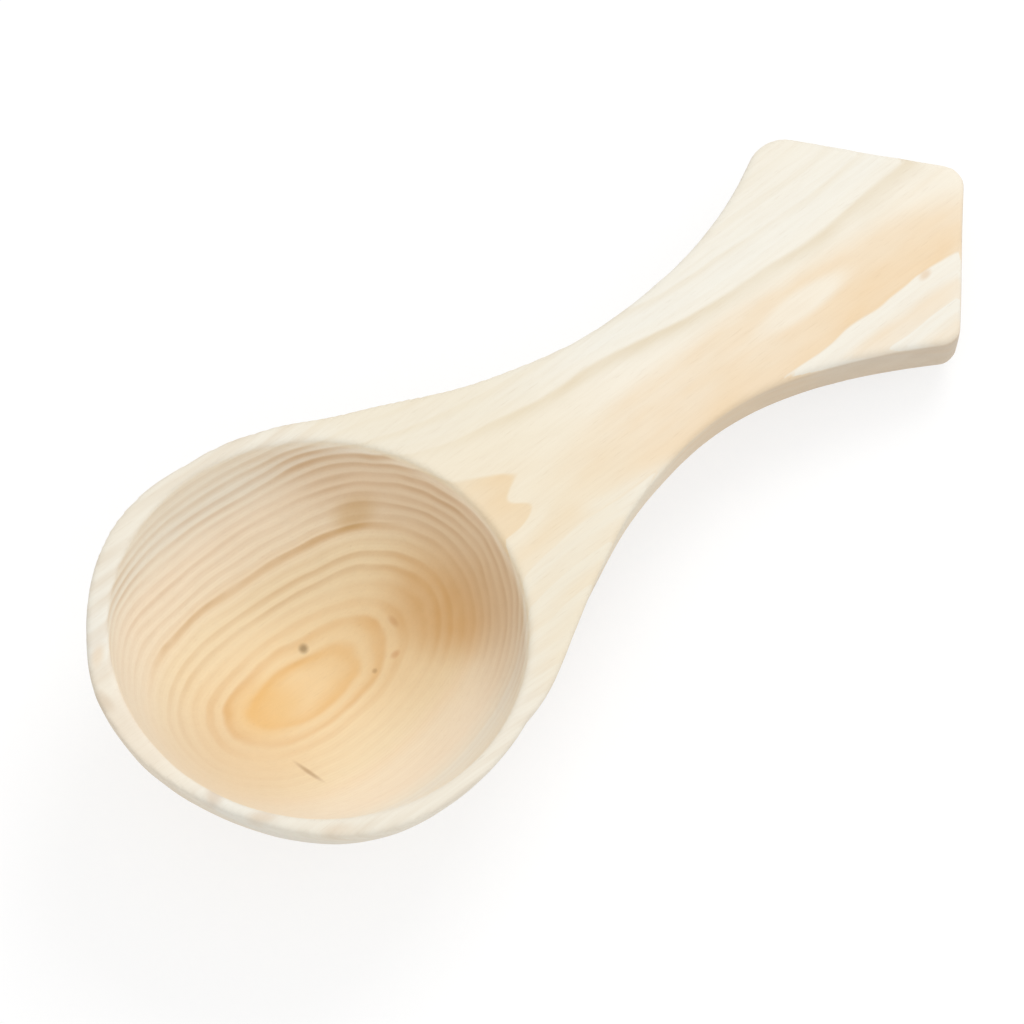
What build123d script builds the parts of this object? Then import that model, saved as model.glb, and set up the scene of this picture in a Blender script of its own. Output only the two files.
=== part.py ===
from build123d import *
import math
import os

# A measuring scoop carved from one piece of pale wood: a round bowl and a flat handle that
# narrows to a neck and widens again to a fishtail with a gabled end. It stands as it comes to
# rest on a table, on the underside of the bowl and the tip of the handle, so the rim leans
# towards the handle. X runs along the handle, Z is up, and the origin lies on the table under
# the middle of the whole length. All lengths are in millimetres and all angles in degrees.

# Bowl: a cap of a sphere inside and out, 30 ml when it is filled level with the rim.
mouth_radius = 27.0
bowl_depth = 21.6
rim_width = 2.7
floor_thickness = 2.7

# Handle: distances run from the middle of the bowl, widths go right across, and it thickens
# evenly from the root to the tail. It was cut by eye, so its neck, its tail and the point of
# its end lie a little off the middle line.
root_thickness = 5.3
tail_thickness = 7.1
neck_distance = 50.3
neck_width = 21.8
neck_offset = 0.7
tail_distance = 93.0
tail_width = 39.2
tail_offset = -0.6
tail_angle = 30.5
point_distance = 110.6
point_offset = -2.4

# Shoulders: the sides of the handle start just inside the bowl's wall and turn a little outwards
# from its round, more so underneath, so the side walls lean in where they run out on the bowl.
root_inset = 0.8
shoulder_angle = 66.0
shoulder_turn = 3.0
low_shoulder_angle = 60.0
low_shoulder_turn = 20.0

# Rounded corners, the hollow where the handle's root runs into the bowl, and the narrow bevels
# that ease the sharp edges.
tail_round = 3.0
point_round = 2.5
root_round = 8.0
top_bevel = 0.9
mouth_bevel = 0.6
under_bevel = 1.1


def sphere_over(radius, depth):
    """The radius of the sphere whose cap has this rim radius and depth."""
    return (radius**2 + depth**2) / (depth + depth)


outer_radius = mouth_radius + rim_width
outer_depth = bowl_depth + floor_thickness
hollow_sphere = sphere_over(mouth_radius, bowl_depth)
shell_sphere = sphere_over(outer_radius, outer_depth)
shell_centre_height = shell_sphere - outer_depth


def handle_outline(plane, bowl_radius, angle, turn):
    """The handle seen from above, from its shoulders on the bowl to the gabled end."""
    with BuildSketch(plane) as outline:
        with BuildLine():
            for side in (1, -1):
                shoulder = Vector(bowl_radius - root_inset).rotate(Axis.Z, side * angle)
                leaving = Vector(0, -side).rotate(Axis.Z, side * (angle + turn))
                neck = Vector(neck_distance, neck_offset + side * neck_width / 2)
                tail = Vector(tail_distance, tail_offset + side * tail_width / 2)
                arriving = Vector(1).rotate(Axis.Z, side * tail_angle)
                Spline(shoulder, neck, tail, tangents=(leaving, arriving))
                Line(tail, (point_distance, point_offset))
                Line(shoulder, (shoulder.X, 0))
        make_face()
        fillet(outline.vertices().sort_by(Axis.X)[-1], point_round)
        tails = outline.vertices().filter_by_position(Axis.X, tail.X - point_round, tail.X + point_round)
        fillet(tails, tail_round)
    return outline.sketch.face()


# How far the rounded point of the handle reaches from the middle of the bowl.
plan = handle_outline(Plane.XY, outer_radius, shoulder_angle, shoulder_turn)
handle_reach = plan.bounding_box().max.X

# The lean of the rim when the underside of the bowl and the tip of the handle touch the table.
thickening = (tail_thickness - root_thickness) / tail_distance
tip_reach = handle_reach - under_bevel
tip_rise = shell_centre_height + root_thickness + thickening * tip_reach
rest_lean = math.asin(shell_sphere / math.hypot(tip_reach, tip_rise)) - math.atan2(tip_rise, tip_reach)

# The plane of the rim and of the handle's top, which a straight edge levels the measure along.
rim_height = shell_sphere - shell_centre_height * math.cos(rest_lean)
rim_setback = (handle_reach - outer_radius) * math.cos(rest_lean) / 2
level = Plane(
    origin=(-rim_setback, 0, rim_height),
    x_dir=(math.cos(rest_lean), 0, -math.sin(rest_lean)),
    z_dir=(math.sin(rest_lean), 0, math.cos(rest_lean)),
)
handle_axis = Axis(level.origin, level.x_dir)
bowl_axis = Axis(level.origin, level.z_dir)
upright = Plane(origin=level.origin, x_dir=level.x_dir, z_dir=-level.y_dir)

# The plane of the handle's underside, and the bowl's outer radius at the root's depth.
low_level = level.offset(-root_thickness).rotated((0, math.degrees(math.atan(thickening)), 0))
low_radius = math.sqrt(shell_sphere**2 - (shell_centre_height + root_thickness) ** 2)

with BuildPart() as carved_scoop:
    # The handle, as a slab between its outline on top and the narrower one underneath.
    top_outline = handle_outline(level, outer_radius, shoulder_angle, shoulder_turn)
    low_outline = handle_outline(low_level, low_radius, low_shoulder_angle, low_shoulder_turn)
    loft([top_outline, low_outline], ruled=True)
    underside = carved_scoop.faces().sort_by(bowl_axis)[0]
    chamfer(underside.edges().sort_by(handle_axis)[2:], under_bevel)

    # The outside of the bowl, and the hollow where the handle's root runs into it.
    with BuildSketch(upright):
        with BuildLine():
            Line((0, -outer_depth), (0, 0))
            Line((0, 0), (outer_radius, 0))
            RadiusArc((outer_radius, 0), (0, -outer_depth), shell_sphere)
        make_face()
    revolve(axis=bowl_axis)
    fillet(carved_scoop.edges(Select.NEW), root_round)

    # The inside of the bowl.
    with BuildSketch(upright):
        with BuildLine():
            Line((0, -bowl_depth), (0, 0))
            Line((0, 0), (mouth_radius, 0))
            RadiusArc((mouth_radius, 0), (0, -bowl_depth), hollow_sphere)
        make_face()
    revolve(axis=bowl_axis, mode=Mode.SUBTRACT)

    # The flat top is eased round its outline and round the mouth.
    flat_top = carved_scoop.faces().sort_by(bowl_axis)[-1]
    chamfer(flat_top.outer_wire().edges(), top_bevel)
    flat_top = carved_scoop.faces().sort_by(bowl_axis)[-1]
    chamfer(flat_top.inner_wires()[0].edges(), mouth_bevel)

carved_scoop.part.label = "carved_scoop"
os.makedirs("parts", exist_ok=True)
export_step(carved_scoop.part, "parts/carved_scoop.step")
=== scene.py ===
import math

import bpy
import numpy as np
from mathutils import Matrix, Vector


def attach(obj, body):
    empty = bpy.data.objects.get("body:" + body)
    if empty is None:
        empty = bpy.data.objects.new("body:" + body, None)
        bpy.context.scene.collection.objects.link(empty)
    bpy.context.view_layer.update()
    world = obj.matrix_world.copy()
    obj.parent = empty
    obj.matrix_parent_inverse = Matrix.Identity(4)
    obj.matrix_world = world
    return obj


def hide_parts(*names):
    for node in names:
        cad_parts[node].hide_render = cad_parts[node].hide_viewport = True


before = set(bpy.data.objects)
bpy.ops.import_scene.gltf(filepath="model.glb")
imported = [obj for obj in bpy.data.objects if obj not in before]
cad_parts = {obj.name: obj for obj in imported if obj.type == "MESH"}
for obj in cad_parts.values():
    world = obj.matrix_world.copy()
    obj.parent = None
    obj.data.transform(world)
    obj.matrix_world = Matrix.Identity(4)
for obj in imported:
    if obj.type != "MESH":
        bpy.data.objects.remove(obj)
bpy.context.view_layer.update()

# All shaping is done in the level frame, in millimetres: u runs along the handle from the middle
# of the bowl, v across it, and w up out of the flat top that the rim and the handle share.
MM = 0.001

# At rest the spoon lies on the bowl's underside and the handle's tip, so the level frame leans in
# the frame of the part.
REST_LEAN = math.asin(0.15707173)
MOUTH_MIDDLE = (-0.03952151, 0.0, 0.02437448)
LEVEL = Matrix.Translation(MOUTH_MIDDLE) @ Matrix.Rotation(REST_LEAN, 4, "Y")

# The bowl, a cap of a sphere inside and out.
MOUTH_RADIUS = 27.0
HOLLOW_SPHERE = 27.675
HOLLOW_CENTRE = 6.075
OUTER_RADIUS = 29.7
SHELL_SPHERE = 30.3
SHELL_CENTRE = 6.0

# How far the bowl's outline stands in or out of a true circle: angle round the bowl, millimetres.
OUT_OF_ROUND = [
    (-180, 0.15), (-163, -0.6), (-150, -0.85), (-135, -0.45), (-122, 0.05), (-95, -0.25),
    (-75, -0.35), (-60, -0.2), (0, -0.3), (40, -0.5), (66, -0.45), (76, -0.5), (86, -0.6),
    (100, -0.05), (115, 0.35), (130, 0.27), (145, 0.15), (158, 0.55), (168, 0.45), (180, 0.15),
]

# The handle's two sides: distance along it, distance out from the middle line.
UPPER_SIDE = [
    (0, 26.0), (12, 26.7), (20, 23.15), (28, 19.5), (35, 16.1), (42, 13.55), (50, 11.6),
    (60, 10.65), (70, 11.15), (80, 13.2), (90, 17.45), (100, 22.8), (125, 36.0),
]
LOWER_SIDE = [
    (0, 26.0), (12, 26.9), (20, 23.95), (28, 19.4), (35, 15.7), (42, 12.6), (50, 10.4),
    (60, 9.3), (70, 10.6), (80, 14.15), (90, 19.3), (100, 25.2), (125, 40.0),
]

# The three corners of the gable that the handle ends in, as places along and across.
UPPER_CORNER = (93.9, 18.0)
POINT = (110.4, -1.8)
LOWER_CORNER = (92.9, -20.25)

# The handle's thickness, counted from the bowl's middle, what each millimetre along adds to it, and
# how far its sides slope in for each millimetre down, near the bowl.
ROOT_THICKNESS = 5.3
THICKENING = 0.0194
WALL_LEAN = 0.3

# Radii of the softened corners and edges, and of the hollow at the handle's root.
UPPER_CORNER_ROUND = 4.0
LOWER_CORNER_ROUND = 2.0
POINT_ROUND = 2.4
TOP_ROUND = 0.6
MOUTH_ROUND = 0.4
UNDER_ROUND = 1.7
ROOT_HOLLOW = 9.0

# The lowest points of the finished wood lie this far above the table.
TABLE_CLEARANCE = 0.02


def curve_through(points):
    """A smooth curve through points, as a function that gives its height and its slope."""
    x, y = np.array(points, float).T
    step = np.diff(x)
    rise = np.diff(y) / step
    last = len(x) - 1
    bends = np.eye(last + 1)
    sums = np.zeros(last + 1)
    for i in range(1, last):
        bends[i, i - 1:i + 2] = step[i - 1], 2 * (step[i - 1] + step[i]), step[i]
        sums[i] = 3 * (rise[i] - rise[i - 1])
    c = np.linalg.solve(bends, sums)
    d = np.diff(c) / (3 * step)
    b = rise - step * (2 * c[:-1] + c[1:]) / 3

    def curve(at):
        i = np.clip(np.searchsorted(x, at) - 1, 0, last - 1)
        t = at - x[i]
        return y[i] + t * (b[i] + t * (c[i] + t * d[i])), b[i] + t * (2 * c[i] + 3 * t * d[i])

    return curve


def fade(value, start, end):
    """0 before start and 1 past end, with a soft step between."""
    t = np.clip((value - start) / (end - start), 0, 1)
    return t * t * (3 - 2 * t)


def meet(a, b, radius):
    """The solid that two solids share, with the edge between them rounded."""
    return np.minimum(-radius, np.maximum(a, b)) + np.hypot(
        np.maximum(radius + a, 0), np.maximum(radius + b, 0)
    )


def join(a, b, radius):
    """Two solids made one, with the inner corner between them hollowed out to a radius."""
    return np.maximum(radius, np.minimum(a, b)) - np.hypot(
        np.maximum(radius - a, 0), np.maximum(radius - b, 0)
    )


def past_line(u, v, start, end):
    """How far a point lies to the left of the line from start to end."""
    along = np.subtract(end, start) / math.dist(start, end)
    return (v - start[1]) * along[0] - (u - start[0]) * along[1]


upper_side = curve_through(UPPER_SIDE)
lower_side = curve_through(LOWER_SIDE)
out_of_round = curve_through(OUT_OF_ROUND)


def scoop(p):
    """How far points lie outside the scoop's surface, in millimetres, or inside it if negative."""
    u, v, w = p.T

    # The outside of the bowl, a little out of round.
    swell = 1 + out_of_round(np.degrees(np.arctan2(v, u)))[0] / OUTER_RADIUS
    out = np.stack([u / swell, v / swell, w - SHELL_CENTRE])
    reach = np.linalg.norm(out, axis=0)
    shell = reach - SHELL_SPHERE
    out /= reach

    # The handle: two curved sides, a gabled end and a flat underside.
    upper, upper_slope = upper_side(u)
    lower, lower_slope = lower_side(u)
    lean = WALL_LEAN * (1 - fade(u, 12, 46))
    upper_length = np.hypot(1, upper_slope)
    lower_length = np.hypot(1, lower_slope)
    above = (v - upper - w * lean) / upper_length
    below = (-v - lower - w * lean) / lower_length
    end_above = past_line(u, v, POINT, UPPER_CORNER) * -1
    end_below = past_line(u, v, LOWER_CORNER, POINT) * -1
    outline = meet(
        meet(above, end_above, UPPER_CORNER_ROUND),
        meet(below, end_below, LOWER_CORNER_ROUND),
        POINT_ROUND,
    )
    under = -(w + ROOT_THICKNESS + THICKENING * u)
    handle = np.maximum(meet(outline, under, UNDER_ROUND), -u)

    # The root runs into the bowl in a hollow, wider where the two surfaces meet more squarely.
    upper_facing = (out[1] - upper_slope * out[0] - lean * out[2]) / upper_length
    lower_facing = (-out[1] - lower_slope * out[0] - lean * out[2]) / lower_length
    side_facing = np.where(v > 0, upper_facing, lower_facing)
    underneath = fade(under - outline, -2, 2)
    facing = side_facing * (1 - underneath) - out[2] * underneath
    hollow = 0.05 + ROOT_HOLLOW * np.clip(1 - facing, 0, 1) * fade(u, 8, 18)
    body = join(shell, handle, hollow)

    # The flat top, and the inside of the bowl.
    body = meet(body, w, TOP_ROUND)
    inside = HOLLOW_SPHERE - np.sqrt(u**2 + v**2 + (w - HOLLOW_CENTRE) ** 2)
    return meet(body, inside, MOUTH_ROUND)


def carve(solid, low, high, cell):
    """The surface of a solid as even, four-sided faces: points and faces."""
    counts = [int(math.ceil((b - a) / cell)) + 1 for a, b in zip(low, high)]
    lines = [a + cell * np.arange(n) for a, n in zip(low, counts)]
    grid = np.stack(np.meshgrid(*lines, indexing="ij"), -1)
    depth = solid(grid.reshape(-1, 3)).reshape(counts)
    inside = depth < 0
    cells = tuple(n - 1 for n in counts)

    def corner(field, offset):
        return field[tuple(slice(o, o + n) for o, n in zip(offset, cells))]

    filled = sum(corner(inside, o).astype(int) for o in np.ndindex(2, 2, 2))
    on_surface = (filled > 0) & (filled < 8)
    points = np.zeros((on_surface.sum(), 3))
    crossings = np.zeros(on_surface.sum())
    for axis in range(3):
        for start in np.ndindex(2, 2, 2):
            if start[axis]:
                continue
            end = tuple(o + (k == axis) for k, o in enumerate(start))
            a = corner(depth, start)[on_surface]
            b = corner(depth, end)[on_surface]
            crossed = (a < 0) != (b < 0)
            t = np.where(crossed, a / np.where(crossed, a - b, 1), 0)[:, None]
            place = corner(grid, start)[on_surface] * (1 - t) + corner(grid, end)[on_surface] * t
            points += place * crossed[:, None]
            crossings += crossed
    points /= crossings[:, None]

    number = np.full(cells, -1)
    number[on_surface] = np.arange(len(points))
    faces = []
    for axis in range(3):
        first, second = (axis + 1) % 3, (axis + 2) % 3
        near = [slice(1, n) for n in cells]
        near[axis] = slice(0, cells[axis])
        far = list(near)
        far[axis] = slice(1, cells[axis] + 1)
        leaves = inside[tuple(near)] & ~inside[tuple(far)]
        enters = ~inside[tuple(near)] & inside[tuple(far)]
        at = [slice(1, n) for n in cells]
        at[axis] = slice(0, cells[axis])
        ring = []
        for back_first, back_second in ((0, 0), (1, 0), (1, 1), (0, 1)):
            box = list(at)
            box[first] = slice(1 - back_first, cells[first] - back_first)
            box[second] = slice(1 - back_second, cells[second] - back_second)
            ring.append(number[tuple(box)])
        faces.append(np.stack([r[leaves] for r in ring], 1))
        faces.append(np.stack([r[enters] for r in ring[::-1]], 1))
    return points, np.concatenate(faces)


def smooth_onto(solid, points, faces, rounds):
    """Spreads the points evenly and lays them exactly on the solid's surface."""
    sides = np.concatenate([faces[:, [i, (i + 1) % 4]] for i in range(4)])
    weight = np.bincount(sides[:, 0], minlength=len(points))[:, None]
    nudge = 0.01
    for turn in range(rounds):
        middle = np.stack(
            [np.bincount(sides[:, 0], points[sides[:, 1], k], len(points)) for k in range(3)], 1
        )
        if turn < rounds - 2:
            points = 0.5 * points + 0.5 * middle / weight
        slope = np.stack(
            [(solid(points + d) - solid(points - d)) / (2 * nudge) for d in np.eye(3) * nudge], 1
        )
        off = solid(points)[:, None]
        points = points - off * slope / np.sum(slope**2, 1, keepdims=True)
    return points


def level_to_row(points):
    """Points in millimetres in the level frame, as metres in the frame of the part."""
    turned = points * MM @ np.array(LEVEL.to_3x3()).T
    return turned + np.array(LEVEL.translation)


def make_piece(name, points, faces):
    """A smooth-shaded piece, linked to the scene."""
    mesh = bpy.data.meshes.new(name)
    mesh.from_pydata(points.tolist(), [], faces.tolist())
    mesh.validate()
    mesh.shade_smooth()
    piece = bpy.data.objects.new(name, mesh)
    bpy.context.scene.collection.objects.link(piece)
    return piece


def paint(red, green, blue):
    """A colour given in screen values from 0 to 255, as the shader needs it."""
    return tuple(
        (c / 255 / 12.92) if c / 255 <= 0.04045 else ((c / 255 + 0.055) / 1.055) ** 2.4
        for c in (red, green, blue)
    ) + (1.0,)


# ---- sums with nodes ----


class Value:
    """A number, colour or place in a node tree. Sums with numbers add Math nodes to its tree."""

    def __init__(self, socket):
        self.socket = socket
        self.tree = socket.id_data

    def __add__(self, other):
        return sum_node("ADD", self, other)

    def __sub__(self, other):
        return sum_node("SUBTRACT", self, other)

    def __mul__(self, other):
        return sum_node("MULTIPLY", self, other)

    def __truediv__(self, other):
        return sum_node("DIVIDE", self, other)

    def __rtruediv__(self, other):
        return sum_node("POWER", self, -1.0) * other


def add_node(tree, kind, inputs=(), **settings):
    """A node with its settings, and its inputs set to numbers or linked to values."""
    node = tree.nodes.new(kind)
    for key, setting in settings.items():
        setattr(node, key, setting)
    for key, value in dict(inputs).items():
        if isinstance(value, Value):
            tree.links.new(value.socket, node.inputs[key])
        else:
            node.inputs[key].default_value = value
    return node


def sum_node(operation, first, *others):
    """A Math node that works on a value and on other values or numbers."""
    inputs = enumerate((first, *others))
    return Value(add_node(first.tree, "ShaderNodeMath", inputs, operation=operation).outputs[0])


def soft_step(value, start, end, low=0.0, high=1.0):
    """low up to start and high past end, with a soft step between."""
    inputs = {"Value": value, "From Min": start, "From Max": end, "To Min": low, "To Max": high}
    node = add_node(value.tree, "ShaderNodeMapRange", inputs, interpolation_type="SMOOTHSTEP")
    return Value(node.outputs["Result"])


def rest_of(share):
    """What a share leaves over: 1 where it is 0, and 0 where it is 1."""
    return share * -1.0 + 1.0


def pick(share, first, second):
    """first where share is 0 and second where it is 1."""
    inputs = {0: share, 2: first, 3: second}
    return Value(add_node(share.tree, "ShaderNodeMix", inputs, data_type="FLOAT").outputs[0])


def split_place(place):
    """A place as three values: along, across and up."""
    return [Value(s) for s in add_node(place.tree, "ShaderNodeSeparateXYZ", {0: place}).outputs]


def noise(place, stretch, seed, detail=2.0, roughness=0.5):
    """Noise from -1 to 1 with about one lump in stretch millimetres along u, v and w."""
    tree = place.tree
    share = {0: place, 1: [1 / s for s in stretch]}
    scaled = add_node(tree, "ShaderNodeVectorMath", share, operation="MULTIPLY")
    inputs = {
        "Vector": Value(scaled.outputs[0]), "W": seed, "Scale": 1.0, "Detail": detail,
        "Roughness": roughness,
    }
    node = add_node(tree, "ShaderNodeTexNoise", inputs, noise_dimensions="4D")
    return Value(node.outputs[0]) * 2.0 - 1.0


def blend(amount, first, second):
    """The first colour where amount is 0, and the second where it is 1."""
    inputs = {0: amount, 6: first, 7: second}
    return Value(add_node(amount.tree, "ShaderNodeMix", inputs, data_type="RGBA").outputs[2])


def colour_by(value, low, high, stops):
    """The colour at a value, between (value, colour) stops."""
    node = add_node(value.tree, "ShaderNodeValToRGB", {0: (value - low) / (high - low)})
    elements = node.color_ramp.elements
    while len(elements) < len(stops):
        elements.new(1.0)
    for element, (place, colour) in zip(elements, stops):
        element.position = (place - low) / (high - low)
        element.color = paint(*colour)
    return Value(node.outputs["Color"])


def height_by(value, low, high, points):
    """The height at a value, on a smooth curve through (value, height) points."""
    heights = [h for _, h in points]
    bottom, top = min(heights), max(heights)
    node = add_node(value.tree, "ShaderNodeFloatCurve", {"Value": (value - low) / (high - low)})
    curve = node.mapping.curves[0]
    while len(curve.points) < len(points):
        curve.points.new(0.5, 0.5)
    for point, (place, height) in zip(curve.points, points):
        point.location = (place - low) / (high - low), (height - bottom) / (top - bottom)
    node.mapping.update()
    return Value(node.outputs["Value"]) * (top - bottom) + bottom


def new_group(name, inputs, outputs):
    """A node group with named inputs and outputs: its given values and its result sockets."""
    tree = bpy.data.node_groups.new(name, "ShaderNodeTree")
    for label, start in inputs.items():
        kind = "NodeSocketVector" if start is None else "NodeSocketFloat"
        socket = tree.interface.new_socket(label, in_out="INPUT", socket_type=kind)
        if start is not None:
            socket.default_value = start
    for label in outputs:
        tree.interface.new_socket(label, in_out="OUTPUT", socket_type="NodeSocketFloat")
    given = {s.name: Value(s) for s in tree.nodes.new("NodeGroupInput").outputs if s.name}
    return tree, given, tree.nodes.new("NodeGroupOutput").inputs


def use_group(group, **inputs):
    """A group placed in the tree of its Place input, with its outputs as values."""
    inputs = {key.replace("_", " "): value for key, value in inputs.items()}
    node = add_node(inputs["Place"].tree, "ShaderNodeGroup", inputs, node_tree=group)
    return [Value(socket) for socket in node.outputs]


# ---- wood ----

# The pith lies under the bowl and runs along the handle: distance along, and its side and depth.
PITH_RANGE = (-35, 115)
PITH_SIDE = [(-35, 2.5), (0, 2.4), (27, 0.4), (60, -2.5), (80, -3.7), (92, -3.8), (115, -3.0)]
PITH_DEPTH = [
    (-35, 28.1), (0, 28.1), (10, 27.9), (17, 27.4), (22, 27.7), (28, 28.5), (35, 28.86),
    (50, 29.12), (60, 29.28), (70, 29.42), (80, 29.48), (90, 29.56), (100, 29.42), (115, 29.2),
]

# The years are counted out from the pith: the width of one, and how much of one the core adds.
YEAR_WIDTH = 1.593
CORE_EXTRA = 1.46

# How bold the dark wood of each year is.
YEAR_RANGE = (0, 30)
BOLDNESS = [
    (0, 0.4), (5.0, 0.4), (5.9, 0.8), (6.9, 0.75), (7.9, 0.35), (8.9, 0.25), (9.9, 0.6),
    (10.9, 0.35), (11.9, 0.2), (12.9, 0.3), (13.9, 0.25), (14.9, 0.4), (15.9, 0.25), (16.9, 0.5),
    (17.9, 0.35), (18.9, 0.75), (19.9, 0.9), (20.9, 0.8), (21.9, 0.7), (24.0, 0.4), (30, 0.5),
]

# Where the broad dark year on the handle ends, as distances from the pith.
BROAD_YEAR_END = (30.25, 30.42)

# Colours of the pale early wood and the dark late wood, by distance from the pith.
TONE_RANGE = (0, 40)
PALE_WOOD = [
    (6.3, (249, 219, 170)), (9, (250, 226, 184)), (13, (249, 229, 192)), (17, (248, 231, 198)),
    (19.2, (249, 231, 202)), (20.5, (249, 234, 208)), (26, (249, 235, 213)),
    (29.5, (246, 238, 221)), (31, (243, 239, 227)), (37, (243, 236, 220)),
]
DARK_WOOD = [
    (7, (240, 190, 114)), (9.6, (228, 182, 122)), (14, (220, 186, 140)),
    (19, (214, 172, 116)), (21, (214, 182, 144)), (26.5, (214, 182, 148)), (33, (214, 192, 162)),
]

# Knots and flecks: place along and across, half length and width, turn, depth of tone, colour.
# The ones outside the bowl's mouth stay near the flat top.
FLECKS = [
    (3.8, 6.2, 0.55, 0.55, 0, 0.65, (128, 100, 62)),
    (8.75, -2.3, 0.3, 0.3, 0, 0.4, (150, 112, 72)),
    (11.9, -2.6, 0.55, 0.4, 0, 0.4, (205, 140, 84)),
    (14.4, 0.8, 0.35, 0.8, 0, 0.35, (196, 136, 80)),
    (-7.6, -8.3, 0.3, 2.0, 6, 0.5, (158, 118, 76)),
    (17.9, 13.4, 2.4, 1.3, -35, 0.45, (204, 164, 98)),
    (95.5, -10.5, 0.9, 0.5, 10, 0.45, (222, 180, 130)),
    (-28.0, 9.2, 0.8, 1.6, 0, 0.35, (200, 170, 135)),
    (-24.6, 14.6, 1.6, 0.7, 35, 0.35, (232, 196, 150)),
    (-25.6, -9.8, 1.4, 1.0, 30, 0.4, (206, 172, 134)),
    (-22.8, -15.9, 1.6, 0.8, -35, 0.35, (214, 178, 136)),
    (-16.6, -23.4, 2.0, 0.9, -30, 0.2, (214, 176, 130)),
]


def build_growth_rings():
    """Growth rings round the pith, with dark late wood at the outer side of each year."""
    tree, given, result = new_group(
        "growth_rings",
        {"Place": None, "Year Width": YEAR_WIDTH, "Unevenness": 0.5, "Swelling": 0.0},
        ["Radius", "Late Wood", "Fine Lines", "Side", "On Handle"],
    )
    place = given["Place"]
    u, v, w = split_place(place)
    on_top = soft_step(w, -1.2, -0.4) * soft_step(u, 12, 24)
    on_handle = sum_node("MAXIMUM", soft_step(u, 27, 38), on_top)

    # The distance from the pith wanders, most of all deep in the bowl and round its core.
    side = v - height_by(u, *PITH_RANGE, PITH_SIDE)
    depth = w + height_by(u, *PITH_RANGE, PITH_DEPTH)
    radius = sum_node("SQRT", side * side + depth * depth) + given["Swelling"]
    uneven = given["Unevenness"] * soft_step(w, -12, -1, 1.0, 0.25)
    radius = radius + noise(place, (26, 12, 12), 2.3) * given["Unevenness"] * 0.6
    radius = radius + noise(place, (9, 5, 5), 5.7, detail=1.0) * uneven
    radius = radius + noise(place, (6, 4, 4), 12.5) * soft_step(radius, 8, 13, 0.45, 0.0)

    # The years are of uneven width on the bowl's walls.
    years = (radius + CORE_EXTRA) / given["Year Width"]
    spread = soft_step(radius, 20, 23) * rest_of(on_handle)
    years = years + noise(place, (60, 7, 7), 3.9, detail=1.0) * spread * 0.6
    season = sum_node("FRACT", years)

    # On the handle the dark wood is broad below the pith's line and thin above it.
    start = pick(on_handle, 0.1, soft_step(side, 1.5, 4.5, 0.2, 0.55))
    end = pick(on_handle, 0.68, soft_step(side, 1.5, 4.5, 0.7, 0.9))
    rise = soft_step(season, start, end)
    fall_start = pick(on_handle, 0.7, soft_step(side, 2, 5, 0.94, 0.88))
    fall = soft_step(season, fall_start, 1.0, 1.0, 0.0)
    patchy = noise(place, (15, 6, 6), 6.4) * 1.1 + 0.8
    late = rise * fall * height_by(years, *YEAR_RANGE, BOLDNESS) * patchy

    # Fine lines, three or so to a year.
    fine = sum_node("FRACT", years * 3.3 + noise(place, (30, 8, 8), 8.2))
    fine = soft_step(fine, 0.2, 0.7) * soft_step(fine, 0.75, 0.95, 1.0, 0.0) * patchy
    for socket, value in zip(result, (radius, late, fine, side, on_handle)):
        tree.links.new(value.socket, socket)
    return tree


def build_spot():
    """A soft-edged oval mark that goes straight down through the wood."""
    tree, given, result = new_group(
        "spot",
        {"Place": None, "Along": 0.0, "Across": 0.0, "Half Length": 1.0, "Half Width": 1.0,
         "Edge": 0.5, "Turn": 0.0},
        ["Mask"],
    )
    u, v, _ = split_place(given["Place"])
    u, v = u - given["Along"], v - given["Across"]
    cosine, sine = sum_node("COSINE", given["Turn"]), sum_node("SINE", given["Turn"])
    x = (u * cosine + v * sine) / given["Half Length"]
    y = (v * cosine - u * sine) / given["Half Width"]
    reach = sum_node("SQRT", x * x + y * y)
    mask = soft_step(reach, rest_of(given["Edge"]), given["Edge"] + 1.0, 1.0, 0.0)
    tree.links.new(mask.socket, result[0])
    return tree


def mark(place, along, across, half_length, half_width, edge=0.5, turn=0.0):
    """Where a spot lies on the wood, from 0 to 1. The turn is in degrees."""
    return use_group(
        spot, Place=place, Along=along, Across=across, Half_Length=half_length,
        Half_Width=half_width, Edge=edge, Turn=math.radians(turn),
    )[0]


def dark_wood_shown(place, side, on_handle, outside):
    """How strongly the dark wood shows. It is faint on the lower and front sides of the bowl."""
    u = split_place(place)[0]
    handle = soft_step(side, 6, 11, 1.0, 0.35) * soft_step(side, -11, -7.5, 0.5, 1.0)
    handle = handle * (mark(place, 38, -9, 15, 4, 0.6) * -0.4 + 1.0)
    bowl = soft_step(side, -14, -1, pick(outside, 0.15, 0.5), 1.0)
    bowl = bowl * soft_step(side, 9, 22, 1.0, 0.7) * soft_step(u, -24, -14, 0.3, 1.0)
    return pick(on_handle, bowl, handle)


def tint_handle(colour, place, late, band, on_handle):
    """The tones of the handle: two tips by the rim, the broad dark year, and painted shade on the
    sawn sides.
    """
    u, _, w = split_place(place)
    tips = late * mark(place, 29, -0.8, 7, 7, 0.3) * on_handle
    colour = blend(tips * 0.5, colour, paint(238, 203, 156))
    broad = band * on_handle * (noise(place, (9, 2.6, 2.6), 14.2) * 0.6 + 0.62)
    colour = blend(broad, colour, paint(241, 219, 187))
    warm_root = soft_step(u, 58, 34) * on_handle
    colour = blend(warm_root * 0.4, colour, paint(239, 224, 192))
    # The sawn sides turn towards a darker tan as painted shade, lighter near the root and darkest
    # towards the tip.
    above_under = w + u * THICKENING + ROOT_THICKNESS
    sawn_side_painted_shade = soft_step(w, -0.25, -0.9) * soft_step(above_under, 0.2, 1.6, 0.3, 1.0)
    sawn_side_painted_shade = sawn_side_painted_shade * (noise(place, (7, 5, 2.5), 16.1) * 0.3 + 0.9) * soft_step(u, 26, 95) * on_handle
    return blend(sawn_side_painted_shade * 0.8, colour, paint(203, 184, 160))


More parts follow.
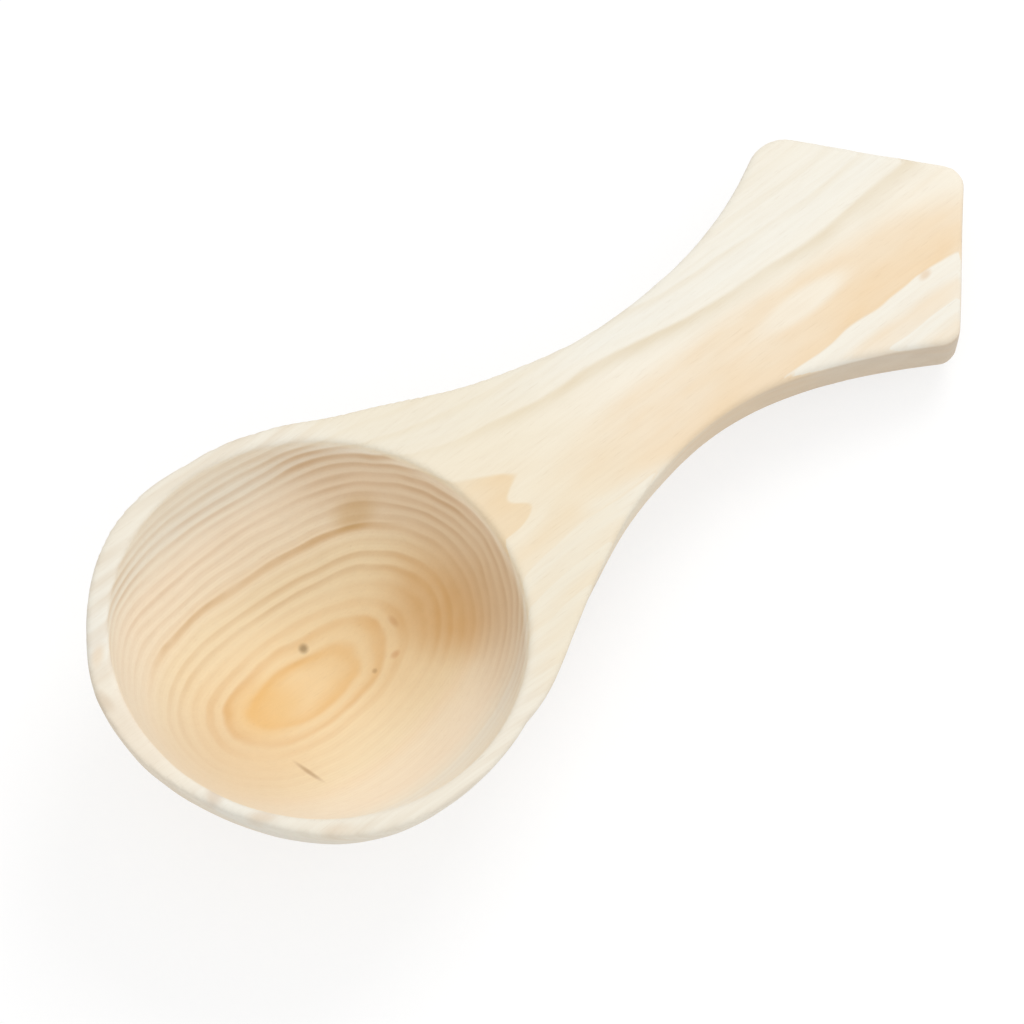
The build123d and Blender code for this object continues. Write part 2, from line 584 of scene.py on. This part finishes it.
def tint_bowl(colour, place, late, in_bowl, outside):
    """The tones of the bowl: grey at its front, warm in its core, and brown where the grain dives
    and on the steep wall by the handle, partly painted shade.
    """
    u, v, _ = split_place(place)
    front = soft_step(u * -1.0 - v * 0.25, 8, 24) * in_bowl
    colour = blend(front * pick(outside, 0.6, 0.3), colour, paint(232, 223, 206))
    front_floor = mark(place, -14, -2, 9, 9, 0.8) * in_bowl
    colour = blend(front_floor * 0.45, colour, paint(226, 194, 150))
    core = mark(place, -5.5, 2.6, 4.5, 3.4, 0.6)
    colour = blend(core * 0.5, colour, paint(244, 198, 122))
    warm_root = mark(place, 16, -3, 9, 9, 0.8) * in_bowl
    colour = blend(warm_root * 0.3, colour, paint(236, 198, 142))
    # Where the grain dives on the wall by the handle, the warm brown is partly heartwood and partly
    # painted shade of that wall.
    dive_and_painted_shade = mark(place, 19.4, -3.7, 4.4, 7.6, 0.7, 8) * in_bowl
    dive_and_painted_shade = dive_and_painted_shade * (noise(place, (5, 5, 5), 1.7) * 0.3 + late * 0.4 + 0.8)
    colour = blend(dive_and_painted_shade * 0.82, colour, paint(217, 168, 104))
    # The steep wall below the rim by the handle turns brown: its dense late wood, deepened with
    # painted shade.
    outwards = sum_node("SQRT", u * u + v * v)
    dense_rings_and_painted_shade = soft_step(outwards, 19.5, 24.5) * soft_step(u + v * 0.1, 8, 21) * in_bowl
    return blend(dense_rings_and_painted_shade * (late * 0.5 + 0.38), colour, paint(206, 174, 136))


def build_wood():
    """Pale wood with growth rings, flecks, fibres and pores."""
    material = bpy.data.materials.new("carved_pale_wood")
    material.use_nodes = True
    tree = material.node_tree
    shader = tree.nodes["Principled BSDF"]

    # The place on the piece in the level frame, in millimetres.
    place = Value(add_node(tree, "ShaderNodeMapping", {
        "Vector": Value(add_node(tree, "ShaderNodeTexCoord").outputs["Object"]),
        "Location": LEVEL.inverted().translation / MM,
        "Rotation": (0, -REST_LEAN, 0),
        "Scale": (1 / MM, 1 / MM, 1 / MM),
    }).outputs[0])
    u, v, w = split_place(place)

    # The rings bend a little round a small knot in the bowl, and end in two tips by the rim.
    swelling = mark(place, 3.8, 6.2, 1.9, 1.9, 0.9) * 0.25
    swelling = swelling + mark(place, 34, -1.4, 4.2, 1.4, 0.9) * 0.25
    swelling = swelling - mark(place, 29, -4.4, 3.6, 2.0, 0.9) * 0.28
    radius, late, fine, side, on_handle = use_group(
        growth_rings, Place=place, Unevenness=0.5, Swelling=swelling
    )

    # The bowl below its rim, and its outer side.
    in_bowl = soft_step(w, -2.5, -0.8, 1.0, 0.0) * rest_of(on_handle)
    from_middle = sum_node("SQRT", u * u + v * v + (w - HOLLOW_CENTRE) * (w - HOLLOW_CENTRE))
    outside = soft_step(from_middle, HOLLOW_SPHERE + 0.5, HOLLOW_SPHERE + 1.5)

    # On the handle one broad dark year lies almost flat, with an island of pale wood in it. The
    # other years show no dark wood beside it.
    before_its_end = soft_step(radius, *BROAD_YEAR_END, 1.0, 0.0)
    band = mark(place, 73, -5.5, 36, 6.5, 0.25, -2.5)
    band = band * (mark(place, 80, -3.5, 7.8, 1.9, 0.4, -1) * -0.85 + 1.0)
    beside_band = rest_of(band) * soft_step(u, 35, 40) * soft_step(side, 2.5, 4, 1.0, 0.0)
    late = late * rest_of(beside_band * before_its_end * on_handle)

    pale = colour_by(radius, *TONE_RANGE, PALE_WOOD)
    dark = colour_by(radius, *TONE_RANGE, DARK_WOOD)
    dark = blend(on_handle, dark, paint(238, 208, 165))
    dark = blend(soft_step(side, 2, 5) * on_handle * 0.85, dark, paint(224, 211, 184))
    colour = blend(late * dark_wood_shown(place, side, on_handle, outside), pale, dark)
    colour = blend(fine * 0.06, colour, dark)

    # One bold year crosses the bowl's upper wall.
    bold_year = soft_step(radius, 18.3, 19.2) * soft_step(radius, 19.3, 19.7, 1.0, 0.0)
    bold_year = bold_year * soft_step(v, 6, 13) * soft_step(u, -20, -11) * in_bowl
    bold_year = bold_year * (noise(place, (7, 7, 7), 7.7) * 0.8 + 0.7)
    colour = blend(bold_year * 0.75, colour, paint(206, 164, 106))

    colour = tint_handle(colour, place, late, band * before_its_end, on_handle)
    colour = tint_bowl(colour, place, late, in_bowl, outside)

    # Knots and flecks.
    near_top = soft_step(w, -2.2, -0.7)
    for along, across, length, width, turn, depth, tone in FLECKS:
        fleck = mark(place, along, across, length, width, 0.7, turn)
        if math.hypot(along, across) > MOUTH_RADIUS:
            fleck = fleck * near_top
        colour = blend(fleck * depth, colour, paint(*tone))

    # Fibres, thin streaks that run with the grain, and pores.
    fibres = noise(place, (9, 0.5, 0.5), 4.0, detail=3.0, roughness=0.6)
    pores = noise(place, (2.4, 0.17, 0.17), 9.0)
    colour = blend(soft_step(fibres, -0.3, 0.6) * 0.075, colour, paint(200, 166, 126))
    colour = blend(soft_step(pores, 0.15, 0.6) * 0.13, colour, paint(176, 138, 98))
    tree.links.new(colour.socket, shader.inputs["Base Color"])

    shader.inputs["Specular IOR Level"].default_value = 0.35
    rough = soft_step(late, 0, 1, 0.62, 0.52) + pores * 0.05
    tree.links.new(rough.socket, shader.inputs["Roughness"])
    relief = late * 0.4 - pores * 0.3 - fibres * 0.3
    inputs = {"Height": relief, "Strength": 0.3, "Distance": 0.08 * MM}
    bump = add_node(tree, "ShaderNodeBump", inputs)
    tree.links.new(bump.outputs["Normal"], shader.inputs["Normal"])
    return material


growth_rings = build_growth_rings()
spot = build_spot()

# ---- hand finish ----


def build_hand_finish():
    """Geometry nodes that move the surface out and in a little, as a carver's hand leaves it."""
    tree = bpy.data.node_groups.new("hand_finish", "GeometryNodeTree")
    tree.interface.new_socket("Geometry", in_out="INPUT", socket_type="NodeSocketGeometry")
    for label in ("Wander", "Wander Size", "Tool Marks", "Tool Mark Size", "Seed"):
        tree.interface.new_socket(label, in_out="INPUT", socket_type="NodeSocketFloat")
    tree.interface.new_socket("Wood", in_out="INPUT", socket_type="NodeSocketMaterial")
    tree.interface.new_socket("Geometry", in_out="OUTPUT", socket_type="NodeSocketGeometry")
    given = {s.name: Value(s) for s in tree.nodes.new("NodeGroupInput").outputs if s.name}

    at = Value(add_node(tree, "GeometryNodeInputPosition").outputs[0])
    moved = None
    for depth, size in (("Wander", "Wander Size"), ("Tool Marks", "Tool Mark Size")):
        inputs = {"Vector": at, "W": given["Seed"], "Scale": 1.0 / given[size], "Detail": 1.0}
        lumps = Value(add_node(tree, "ShaderNodeTexNoise", inputs, noise_dimensions="4D").outputs[0])
        step = (lumps * 2.0 - 1.0) * given[depth]
        moved = step if moved is None else moved + step
    outwards = {0: Value(add_node(tree, "GeometryNodeInputNormal").outputs[0]), 3: moved}
    offset = Value(add_node(tree, "ShaderNodeVectorMath", outwards, operation="SCALE").outputs[0])
    placed = add_node(tree, "GeometryNodeSetPosition",
                      {"Geometry": given["Geometry"], "Offset": offset})
    real = add_node(tree, "GeometryNodeRealizeInstances", {0: Value(placed.outputs[0])})
    wooden = add_node(tree, "GeometryNodeSetMaterial",
                      {"Geometry": Value(real.outputs[0]), "Material": given["Wood"]})
    tree.links.new(wooden.outputs[0], tree.nodes.new("NodeGroupOutput").inputs[0])
    return tree


def finish_by_hand(piece, **settings):
    """Runs the hand finish on a piece and keeps the result as its plain mesh, off the table."""
    modifier = piece.modifiers.new("hand finish", "NODES")
    modifier.node_group = build_hand_finish()
    for item in modifier.node_group.interface.items_tree:
        if item.in_out == "INPUT" and item.name.replace(" ", "_") in settings:
            modifier[item.identifier] = settings[item.name.replace(" ", "_")]
    finished = piece.evaluated_get(bpy.context.evaluated_depsgraph_get())
    mesh = bpy.data.meshes.new_from_object(finished)
    piece.modifiers.remove(modifier)
    piece.data = mesh
    mesh.name = piece.name
    for vertex in mesh.vertices:
        vertex.co.z = max(vertex.co.z, TABLE_CLEARANCE * MM)


# ---- the piece ----

# The box that the spoon is carved in, and the size of its faces.
CARVE_LOW = (-32.3, -32.1, -26.2)
CARVE_HIGH = (112.1, 32.2, 1.7)
FACE_SIZE = 0.55
SMOOTHING_ROUNDS = 7

points, faces = carve(scoop, CARVE_LOW, CARVE_HIGH, FACE_SIZE)
points = smooth_onto(scoop, points, faces, SMOOTHING_ROUNDS)
spoon = make_piece("carved_spoon", level_to_row(points), faces)
finish_by_hand(
    spoon, Wander=0.25 * MM, Wander_Size=14 * MM, Tool_Marks=0.06 * MM, Tool_Mark_Size=4 * MM,
    Seed=3.0, Wood=build_wood(),
)

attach(spoon, "root")
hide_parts("carved_scoop")

# ---- stage, light and camera ----

bpy.ops.mesh.primitive_plane_add(size=8.0)
floor = bpy.context.object
floor.name = "floor"

# The camera sees a white floor with a soft shadow, and the wood gets the light of a pale one.
pale = bpy.data.materials.new("pale_floor")
pale.use_nodes = True
tree = pale.node_tree
tree.nodes.remove(tree.nodes["Principled BSDF"])
bounce = add_node(tree, "ShaderNodeBsdfDiffuse", {"Color": (0.80, 0.79, 0.78, 1)})
shown = add_node(tree, "ShaderNodeBsdfDiffuse", {"Color": (0.32, 0.32, 0.32, 1)})
glow = add_node(tree, "ShaderNodeEmission", {"Strength": 0.72})
rays = {s.name: Value(s) for s in add_node(tree, "ShaderNodeLightPath").outputs}
seen = sum_node("MAXIMUM", rays["Is Camera Ray"], rays["Is Glossy Ray"])
seen = sum_node("MAXIMUM", seen, rays["Is Transmission Ray"])
lit = add_node(tree, "ShaderNodeAddShader", {0: Value(shown.outputs[0]), 1: Value(glow.outputs[0])})
either = add_node(tree, "ShaderNodeMixShader", {
    0: seen, 1: Value(bounce.outputs[0]), 2: Value(lit.outputs[0]),
})
tree.links.new(either.outputs[0], tree.nodes["Material Output"].inputs["Surface"])
floor.data.materials.append(pale)

world = bpy.data.worlds.new("studio")
bpy.context.scene.world = world
world.use_nodes = True
world.node_tree.nodes["Background"].inputs["Color"].default_value = (1, 1, 1, 1)
world.node_tree.nodes["Background"].inputs["Strength"].default_value = 0.71


def soft_light(name, direction, distance, size, power):
    """A square lamp that faces the middle of the spoon, from a direction in the level frame."""
    data = bpy.data.lights.new(name, "AREA")
    data.shape = "SQUARE"
    data.size = size
    data.energy = power
    lamp = bpy.data.objects.new(name, data)
    bpy.context.scene.collection.objects.link(lamp)
    toward = (LEVEL.to_3x3() @ Vector(direction)).normalized()
    lamp.location = Vector((0, 0, 0.01)) + toward * distance
    lamp.rotation_euler = toward.to_track_quat("Z", "Y").to_euler()


# The main light falls from the handle's upper side, and a weak one from the near side.
soft_light("key", (0.50, 0.25, 0.80), distance=1.0, size=0.5, power=3.4)
soft_light("near", (-0.25, -0.85, 0.40), distance=1.0, size=0.5, power=1.05)

# The camera looks down on the rim from the near left, as the photograph does.
CAMERA_LENS = 281.25
CAMERA_AT = Vector((-0.327844, -0.322711, 0.912637))
CAMERA_TURN = Matrix((
    (0.7546373, 0.556794, -0.3471355),
    (-0.6526837, 0.6912489, -0.3101273),
    (0.06728, 0.4606033, 0.8850526),
))

camera_data = bpy.data.cameras.new("camera")
camera_data.lens = CAMERA_LENS
camera_data.sensor_width = 36
camera_data.clip_start = 0.01
camera_data.clip_end = 20
camera = bpy.data.objects.new("camera", camera_data)
bpy.context.scene.collection.objects.link(camera)
camera.matrix_world = LEVEL @ Matrix.Translation(CAMERA_AT) @ CAMERA_TURN.to_4x4()
bpy.context.scene.camera = camera

bpy.context.scene.view_settings.view_transform = "Standard"
